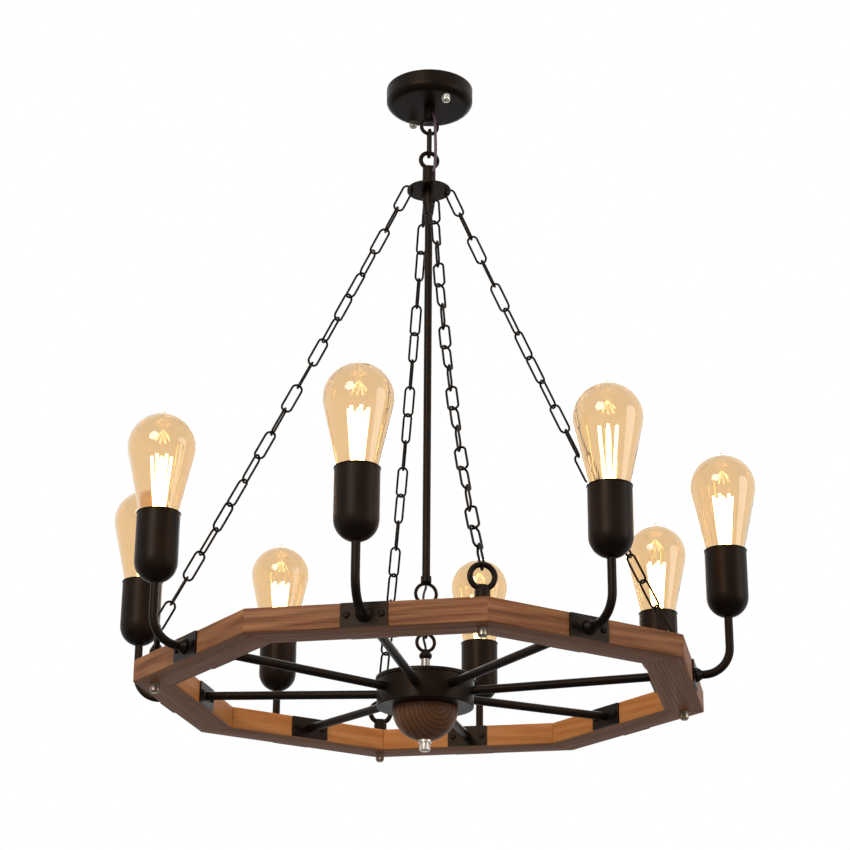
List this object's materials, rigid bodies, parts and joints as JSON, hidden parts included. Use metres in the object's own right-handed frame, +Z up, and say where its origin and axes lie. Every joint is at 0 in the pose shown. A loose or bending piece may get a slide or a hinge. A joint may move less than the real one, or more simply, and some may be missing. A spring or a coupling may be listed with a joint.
{
  "type": "wagon wheel chandelier",
  "caption": "Hanging wheel light: an eight-sided wooden ring on a hub with spokes, hung by chains and a rod from a round canopy, with upright bulbs in cups on bent arms.",
  "frame": {"origin": "centre of the canopy's rim, in the plane of the ceiling", "axes": "+Z up into the ceiling, -Y towards the front chain, +X towards the right chain"},
  "size_m": [0.6054, 0.6054, 0.7182],
  "materials": {
    "black_metal": "semi-gloss",
    "nickel": "satin",
    "zinc_steel": "satin",
    "ring_wood": "satin",
    "bowl_wood": "satin",
    "amber_glass": "clear",
    "bulb_cap_metal": "satin",
    "contact_metal": "satin",
    "holder_plastic": "matte",
    "wire_insulation": "satin",
    "connector_plastic": "matte"
  },
  "bodies": {
    "ceiling_mount": {"ceiling_bracket": "zinc_steel", "canopy": "black_metal", "canopy_studs": "nickel", "canopy_nuts": "nickel", "canopy_loop": "black_metal", "loop_nut": "nickel", "wire_connectors": "connector_plastic"},
    "hang_link": {"hang_link": "black_metal", "supply_cord_upper": "wire_insulation", "supply_cord_lower": "wire_insulation"},
    "fixture": {"top_eye": "black_metal", "top_disc": "black_metal", "rod_coupler": "black_metal", "down_rod": "black_metal", "rod_loop": "black_metal", "lower_link": "black_metal", "hub_loop": "black_metal", "hub_nipple": "black_metal", "hub_drum": "black_metal", "hub_cover": "black_metal", "wood_bowl": "bowl_wood", "finial_nut": "black_metal", "spokes": "black_metal", "ring_segments": "ring_wood", "beam_plates": "black_metal", "plate_screws": "black_metal", "lamp_arms": "black_metal", "lamp_cups": "black_metal", "lampholders": "holder_plastic", "eye_bolts": "black_metal", "eye_nuts": "nickel", "chain_front": "black_metal", "chain_right": "black_metal", "chain_back": "black_metal", "chain_left": "black_metal", "inner_leads": "wire_insulation"},
    "bulb_contact_1": {"bulb_contact_1": "contact_metal"},
    "bulb_1": {"bulb_glass_1": "amber_glass", "bulb_base_1": "bulb_cap_metal"},
    "bulb_contact_2": {"bulb_contact_2": "contact_metal"},
    "bulb_2": {"bulb_glass_2": "amber_glass", "bulb_base_2": "bulb_cap_metal"},
    "bulb_contact_3": {"bulb_contact_3": "contact_metal"},
    "bulb_3": {"bulb_glass_3": "amber_glass", "bulb_base_3": "bulb_cap_metal"},
    "bulb_contact_4": {"bulb_contact_4": "contact_metal"},
    "bulb_4": {"bulb_glass_4": "amber_glass", "bulb_base_4": "bulb_cap_metal"},
    "bulb_contact_5": {"bulb_contact_5": "contact_metal"},
    "bulb_5": {"bulb_glass_5": "amber_glass", "bulb_base_5": "bulb_cap_metal"},
    "bulb_contact_6": {"bulb_contact_6": "contact_metal"},
    "bulb_6": {"bulb_glass_6": "amber_glass", "bulb_base_6": "bulb_cap_metal"},
    "bulb_contact_7": {"bulb_contact_7": "contact_metal"},
    "bulb_7": {"bulb_glass_7": "amber_glass", "bulb_base_7": "bulb_cap_metal"},
    "bulb_contact_8": {"bulb_contact_8": "contact_metal"},
    "bulb_8": {"bulb_glass_8": "amber_glass", "bulb_base_8": "bulb_cap_metal"}
  },
  "joints": [
    {"name": "link_swing", "type": "hinge", "parent": "ceiling_mount", "child": "hang_link", "pos_m": [0, 0, -0.052], "axis": [1, 0, 0], "range_deg": [-25, 25], "deforming": ["supply_cord_upper"]},
    {"name": "eye_swing", "type": "hinge", "parent": "hang_link", "child": "fixture", "pos_m": [0, 0, -0.0792], "axis": [0, 1, 0], "range_deg": [-25, 25], "deforming": ["supply_cord_lower"]},
    {"name": "bulb_1_lift", "type": "slide", "parent": "fixture", "child": "bulb_contact_1", "axis": [0, 0, 1], "range_m": [0, 0.02178]},
    {"name": "bulb_1_turn", "type": "hinge", "parent": "bulb_contact_1", "child": "bulb_1", "pos_m": [-0.11212, -0.27068, -0.5747], "axis": [0, 0, 1], "range_deg": [0, 2160]},
    {"name": "bulb_2_lift", "type": "slide", "parent": "fixture", "child": "bulb_contact_2", "axis": [0, 0, 1], "range_m": [0, 0.02178]},
    {"name": "bulb_2_turn", "type": "hinge", "parent": "bulb_contact_2", "child": "bulb_2", "pos_m": [0.11212, -0.27068, -0.5747], "axis": [0, 0, 1], "range_deg": [0, 2160]},
    {"name": "bulb_3_lift", "type": "slide", "parent": "fixture", "child": "bulb_contact_3", "axis": [0, 0, 1], "range_m": [0, 0.02178]},
    {"name": "bulb_3_turn", "type": "hinge", "parent": "bulb_contact_3", "child": "bulb_3", "pos_m": [0.27068, -0.11212, -0.5747], "axis": [0, 0, 1], "range_deg": [0, 2160]},
    {"name": "bulb_4_lift", "type": "slide", "parent": "fixture", "child": "bulb_contact_4", "axis": [0, 0, 1], "range_m": [0, 0.02178]},
    {"name": "bulb_4_turn", "type": "hinge", "parent": "bulb_contact_4", "child": "bulb_4", "pos_m": [0.27068, 0.11212, -0.5747], "axis": [0, 0, 1], "range_deg": [0, 2160]},
    {"name": "bulb_5_lift", "type": "slide", "parent": "fixture", "child": "bulb_contact_5", "axis": [0, 0, 1], "range_m": [0, 0.02178]},
    {"name": "bulb_5_turn", "type": "hinge", "parent": "bulb_contact_5", "child": "bulb_5", "pos_m": [0.11212, 0.27068, -0.5747], "axis": [0, 0, 1], "range_deg": [0, 2160]},
    {"name": "bulb_6_lift", "type": "slide", "parent": "fixture", "child": "bulb_contact_6", "axis": [0, 0, 1], "range_m": [0, 0.02178]},
    {"name": "bulb_6_turn", "type": "hinge", "parent": "bulb_contact_6", "child": "bulb_6", "pos_m": [-0.11212, 0.27068, -0.5747], "axis": [0, 0, 1], "range_deg": [0, 2160]},
    {"name": "bulb_7_lift", "type": "slide", "parent": "fixture", "child": "bulb_contact_7", "axis": [0, 0, 1], "range_m": [0, 0.02178]},
    {"name": "bulb_7_turn", "type": "hinge", "parent": "bulb_contact_7", "child": "bulb_7", "pos_m": [-0.27068, 0.11212, -0.5747], "axis": [0, 0, 1], "range_deg": [0, 2160]},
    {"name": "bulb_8_lift", "type": "slide", "parent": "fixture", "child": "bulb_contact_8", "axis": [0, 0, 1], "range_m": [0, 0.02178]},
    {"name": "bulb_8_turn", "type": "hinge", "parent": "bulb_contact_8", "child": "bulb_8", "pos_m": [-0.27068, -0.11212, -0.5747], "axis": [0, 0, 1], "range_deg": [0, 2160]}
  ],
  "couplings": [
    {"joint": "bulb_1_lift", "follows": "bulb_1_turn", "m_per_rad": 0.00057757},
    {"joint": "bulb_2_lift", "follows": "bulb_2_turn", "m_per_rad": 0.00057757},
    {"joint": "bulb_3_lift", "follows": "bulb_3_turn", "m_per_rad": 0.00057757},
    {"joint": "bulb_4_lift", "follows": "bulb_4_turn", "m_per_rad": 0.00057757},
    {"joint": "bulb_5_lift", "follows": "bulb_5_turn", "m_per_rad": 0.00057757},
    {"joint": "bulb_6_lift", "follows": "bulb_6_turn", "m_per_rad": 0.00057757},
    {"joint": "bulb_7_lift", "follows": "bulb_7_turn", "m_per_rad": 0.00057757},
    {"joint": "bulb_8_lift", "follows": "bulb_8_turn", "m_per_rad": 0.00057757}
  ]
}
